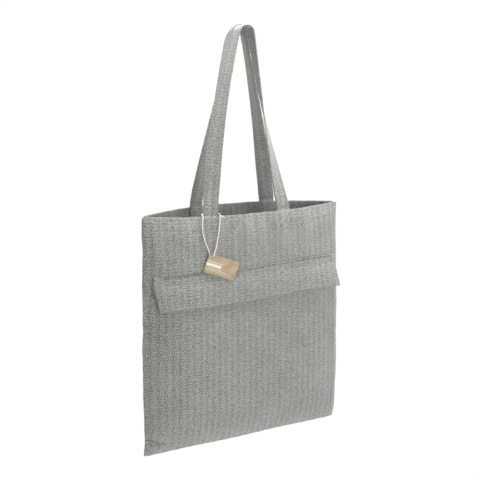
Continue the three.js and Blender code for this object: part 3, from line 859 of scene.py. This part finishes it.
def tag_card():
    """A card with cut corners, a hole and a bent lower right corner. X and Y are mm from its hole."""
    step = 1.0
    length, height, inset, drop, hole = 59.5, 33.0, 6.0, 4.6, 2.3
    nx, ny = int(length / step) + 1, int(height / step) + 1
    xs, ys = np.linspace(-inset, length - inset, nx), np.linspace(drop - height, drop, ny)
    X, Y = np.meshgrid(xs, ys, indexing="ij")
    R = np.hypot(X, Y)
    keep = R > hole * 0.86
    ring = keep & (R < hole * 1.32)
    X, Y = np.where(ring, X * hole / R, X), np.where(ring, Y * hole / R, Y)
    for cx, cy in ((0, 0), (-1, 0), (0, -1), (-1, -1)):
        X[cx, cy] -= np.sign(X[cx, cy] - length / 2 + inset) * 0.45
        Y[cx, cy] -= np.sign(Y[cx, cy] - drop + height / 2) * 0.45
    bent = np.clip((X - 30) * 0.35 - (Y + 14) * 0.9 - 6, 0, None)
    bow = -0.35 * bump(X, 22, 22) + 0.055 * bent**1.25
    origin = np.array(min(STRANDS, key=lambda point: point[2]))
    angle = math.radians(21.5)
    across = np.array([math.cos(angle), 0, -math.sin(angle)])
    up = np.array([math.sin(angle), 0, math.cos(angle)])
    back_way = np.array([0, 1.0, 0])
    index = -np.ones((2, nx, ny), int)
    points, uvs = [], []
    for face, offset in ((0, -0.35), (1, 0.3)):
        for i in range(nx):
            for j in range(ny):
                if keep[i, j]:
                    index[face, i, j] = len(points)
                    points.append(origin + across * X[i, j] + up * Y[i, j] + back_way * (bow[i, j] + offset))
                    uvs.append((X[i, j], Y[i, j]) if face == 0 else (X[i, j] + 100, Y[i, j]))
    faces = []
    edges = {}  # the sides that only one square has so far
    for i in range(nx - 1):
        for j in range(ny - 1):
            quad = [(i, j), (i + 1, j), (i + 1, j + 1), (i, j + 1)]
            if all(keep[q] for q in quad):
                faces.append([index[(0, *q)] for q in quad])
                faces.append([index[(1, *q)] for q in reversed(quad)])
                for a, b in zip(quad, quad[1:] + quad[:1]):
                    if edges.pop((b, a), None) is None:
                        edges[(a, b)] = True
    for a, b in edges:
        faces.append([index[(0, *b)], index[(0, *a)], index[(1, *a)], index[(1, *b)]])
    corners = [uvs[v] for f in faces for v in f]
    piece = outward(make_mesh("tag_card", points, faces, corners, card))
    return ride(piece, "hang_tag", "kraft_card", "hang_tag")


cord, cord_route, cord_length = tag_string()
knot = string_knot()
tag = tag_card()


# ---- The bag ----

CLOTH, THREAD = "grey_herringbone_cotton", "grey_sewing_thread"

u_full, u_flap = columns(400), columns(380, FLAP_END)
front_cloth = ride(panel_sheet("front_cloth", front, -1, cloth), "bag", CLOTH, "front_panel", "front_rim_hem")
back_cloth = ride(panel_sheet("back_cloth", back, 1, cloth), "bag", CLOTH, "back_panel", "back_rim_hem")
pocket_cloth = ride(pocket_sheet(cloth), "bag", CLOTH, "pocket_panel", "pocket_hem")


def panel_row(name, surface, side, reach, depth, rise, node):
    """A row of stitches across a cloth, for that share of its width."""
    run = row_on(surface, side, u_full * reach, depth, rise)
    return ride(stitches(name, [run], thread), "bag", THREAD, node)


front_row = panel_row("front_rim_thread", front, -1, 0.985, HEM_STITCH, 0.38, "front_rim_stitch")
back_row = panel_row("back_rim_thread", back, 1, 0.985, HEM_STITCH, 0.38, "back_rim_stitch")
pocket_row = panel_row("pocket_hem_thread", pocket_surface, -1, 0.97, POCKET_TOP + POCKET_HEM - 3, 0.45,
                       "pocket_hem_stitch")

flap_cloth = flap_sheet(cloth)
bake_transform(flap_cloth)
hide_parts("flap_sewn_edge", "flap_outer", "flap_lining")


def flap_row(name, below, node):
    u, v = u_flap * 0.93, np.full(u_flap.shape, below - FOLD)
    line = on_flap(u, v, 0.72)
    run = (line, unit(on_flap(u, v, 1.72) - line))
    return ride(stitches(name, [run], thread), "bag", THREAD, node)


flap_rows = [flap_row("flap_upper_thread", ROW_ONE, "flap_stitch_upper"),
             flap_row("flap_lower_thread", ROW_TWO, "flap_stitch_lower")]


# ---- Sewing the handles on ----

def box_stitch(name, side, centre_x, node):
    """A sewn square with its diagonals, on the outside of the panel."""
    surface = panel_at(side)
    w, top, h = 11.0, 6.0, 24.0
    corners = [(-w, top), (w, top), (w, top + h), (-w, top + h)]
    segments = list(zip(corners, corners[1:] + corners[:1]))
    segments += [(corners[0], corners[2]), (corners[1], corners[3])]
    runs = []
    for i, (a, b) in enumerate(segments):
        p = np.linspace(a, b, 30)
        lift = 0.62 + 0.1 * (i > 3)  # the diagonals lie over the square
        runs.append(row_on(surface, side, (centre_x + p[:, 0]) / HALF_RIM, p[:, 1], lift))
    return ride(stitches(name, runs, thread, pitch=3.3, length=2.7, radius=0.36), "bag", THREAD, node)


def make_handle(word, spec):
    name, body = f"{word}_handle_tape", f"{word}_handle"
    tape, length = handle(name, spec, cloth)
    seams = handle_seams(f"{word}_handle_thread", spec, thread)
    for piece, slot in ((tape, CLOTH), (seams, THREAD)):
        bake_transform(piece)
    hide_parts(f"{word}_handle", f"{word}_handle_end_left", f"{word}_handle_end_right")
    for place, sign in (("left", -1), ("right", 1)):
        thread_name, node = f"{word}_box_thread_{place}", f"{word}_box_stitch_{place}"
        box_stitch(thread_name, spec["side"], sign * STRAP_ROOT, node)


make_handle("front", LEGS["front"])
make_handle("back", LEGS["back"])


# ---- Seams inside the bag ----

BINDING_HALF, BINDING_INSET = 4.2, 6.6


def binding(name, path, width_way, node):
    """A narrow bound seam along a path, thicker in the middle and a little uneven."""
    a = np.linspace(0, 2 * np.pi, 12, endpoint=False)
    wave = 0.25 * noise(np.arange(len(path)) * 2.0, 0, 9, 71)[:, None]
    across = (BINDING_HALF * np.cos(a))[None] * (1 + wave * 0.2)
    thick = (0.8 * np.sin(a))[None] * (1 + wave)
    ahead = unit(np.gradient(path, axis=0))
    other = unit(np.cross(ahead, width_way))
    rings = path[:, None] + np.asarray(width_way) * across[..., None] + other[:, None] * thick[..., None]
    along = np.linspace(0, 1, len(path)) * np.linalg.norm(path[-1] - path[0])
    uvs = pairs(np.linspace(0, 4 * BINDING_HALF, 13)[None], along[:, None])
    return ride(outward(loft(name, rings, uvs, cloth)), "bag", "grey_cotton_inside", node)


for place, sign in (("left", -1), ("right", 1)):
    d = np.linspace(4, 396, 120)
    line = np.stack([sign * (half_width(d) - BINDING_INSET), np.full(d.shape, SEAM_Y), RIM_Z - d], -1)
    binding(f"{place}_seam_binding", line, (1.0, 0, 0), f"{place}_side_seam")
x = np.linspace(-170, 170, 110)
line = np.stack([x, np.full(x.shape, SEAM_Y), np.full(x.shape, RIM_Z - HEIGHT + LIFT + 5.4)], -1)
binding("bottom_seam_binding", line, (0, 0, 1.0), "bottom_seam")


# ---- Floor and light ----

def make_studio():
    """A pale floor that bends up into a round wall and over. It shows white and casts no light or shadow."""
    rise, radius, far, steps, floor_z = 3.0, 9.0, 14.0, 64, -1.35
    bend, over = np.linspace(-np.pi / 2, 0, 10), np.linspace(0.9, 1.57, 8)
    profile_r = np.concatenate([[0.001, 4.0], radius - rise + rise * np.cos(bend), far * np.cos(over)])
    profile_z = np.concatenate([[0, 0], rise + rise * np.sin(bend), far * np.sin(over)]) + floor_z
    a = np.linspace(0, 2 * np.pi, steps, endpoint=False)
    points = [(r * math.cos(t), r * math.sin(t), z) for r, z in zip(profile_r, profile_z) for t in a]
    faces = []
    for k in range(len(profile_r) - 1):
        low, high = k * steps, (k + 1) * steps
        for i in range(steps):
            after = (i + 1) % steps
            faces.append((low + i, low + after, high + after, high + i))
    mesh = bpy.data.meshes.new("studio_floor")
    mesh.from_pydata(points, [], faces)
    studio = placed("studio_floor", mesh)
    material, nodes, links, shader = new_material("pale_floor")
    shader.inputs["Base Color"].default_value = (0, 0, 0, 1)
    shader.inputs["Specular IOR Level"].default_value = 0
    shader.inputs["Emission Color"].default_value = (1, 1, 1, 1)
    shader.inputs["Emission Strength"].default_value = 1.02
    mesh.materials.append(material)
    studio.visible_diffuse = studio.visible_glossy = False
    studio.visible_transmission = studio.visible_shadow = False


# The lamps: name, place, aim, size, power in W and the spread of the beam in degrees.
LAMPS = (
    ("front", (0.65, -1.87, -0.22), (0, 0, -0.47), 1.0, 14.8, 180),
    ("right", (1.55, -0.05, 0.7), (0, 0, -0.2), 0.9, 16.8, 180),
    ("left", (-1.0, 0.35, 0.45), (0, 0, -0.05), 0.6, 6.0, 180),
    ("low", (0.1, -0.36, -1.6), (0, 0, -0.72), 0.8, 4.0, 180),
    ("overhead", (0.05, -0.12, 0.42), (0, 0, 0), 0.3, 6.0, 180),
    ("handles", (-0.55, -0.85, -0.62), (0.02, 0, -0.04), 0.12, 0.03, 16),
)


def area_light(name, place, aim, size, power, spread):
    data = bpy.data.lights.new(name, "AREA")
    data.shape, data.size, data.energy, data.spread = "DISK", size, power, math.radians(spread)
    aimed(placed(name, data), place, Vector(aim) - Vector(place))


def make_world(low, middle, top):
    """Grey light from all round, with these levels from below, from the sides and from above."""
    world = bpy.data.worlds.new("studio")
    bpy.context.scene.world = world
    world.use_nodes = True
    nodes, links = world.node_tree.nodes, world.node_tree.links
    nodes.clear()
    out = nodes.new("ShaderNodeOutputWorld")
    background = nodes.new("ShaderNodeBackground")
    place = nodes.new("ShaderNodeTexCoord")
    split = nodes.new("ShaderNodeSeparateXYZ")
    ramp = nodes.new("ShaderNodeValToRGB")
    height = nodes.new("ShaderNodeMapRange")
    height.inputs[1].default_value, height.inputs[2].default_value = -1.0, 1.0
    links.new(place.outputs["Generated"], split.inputs[0])
    links.new(split.outputs[2], height.inputs[0])
    links.new(height.outputs[0], ramp.inputs[0])
    stops = ((0.0, low), (0.5, middle), (1.0, top))
    while len(ramp.color_ramp.elements) < len(stops):
        ramp.color_ramp.elements.new(0.5)
    for element, (at, value) in zip(ramp.color_ramp.elements, stops):
        element.position = at
        element.color = (value, value, value, 1)
    links.new(ramp.outputs[0], background.inputs[0])
    links.new(background.outputs[0], out.inputs[0])


make_studio()
make_world(0.62, 0.46, 0.42)
for lamp in LAMPS:
    area_light(*lamp)

scene = bpy.context.scene
scene.view_settings.view_transform = "Standard"
scene.view_settings.look = "None"
scene.view_settings.exposure = 0.0
scene.view_settings.gamma = 1.0
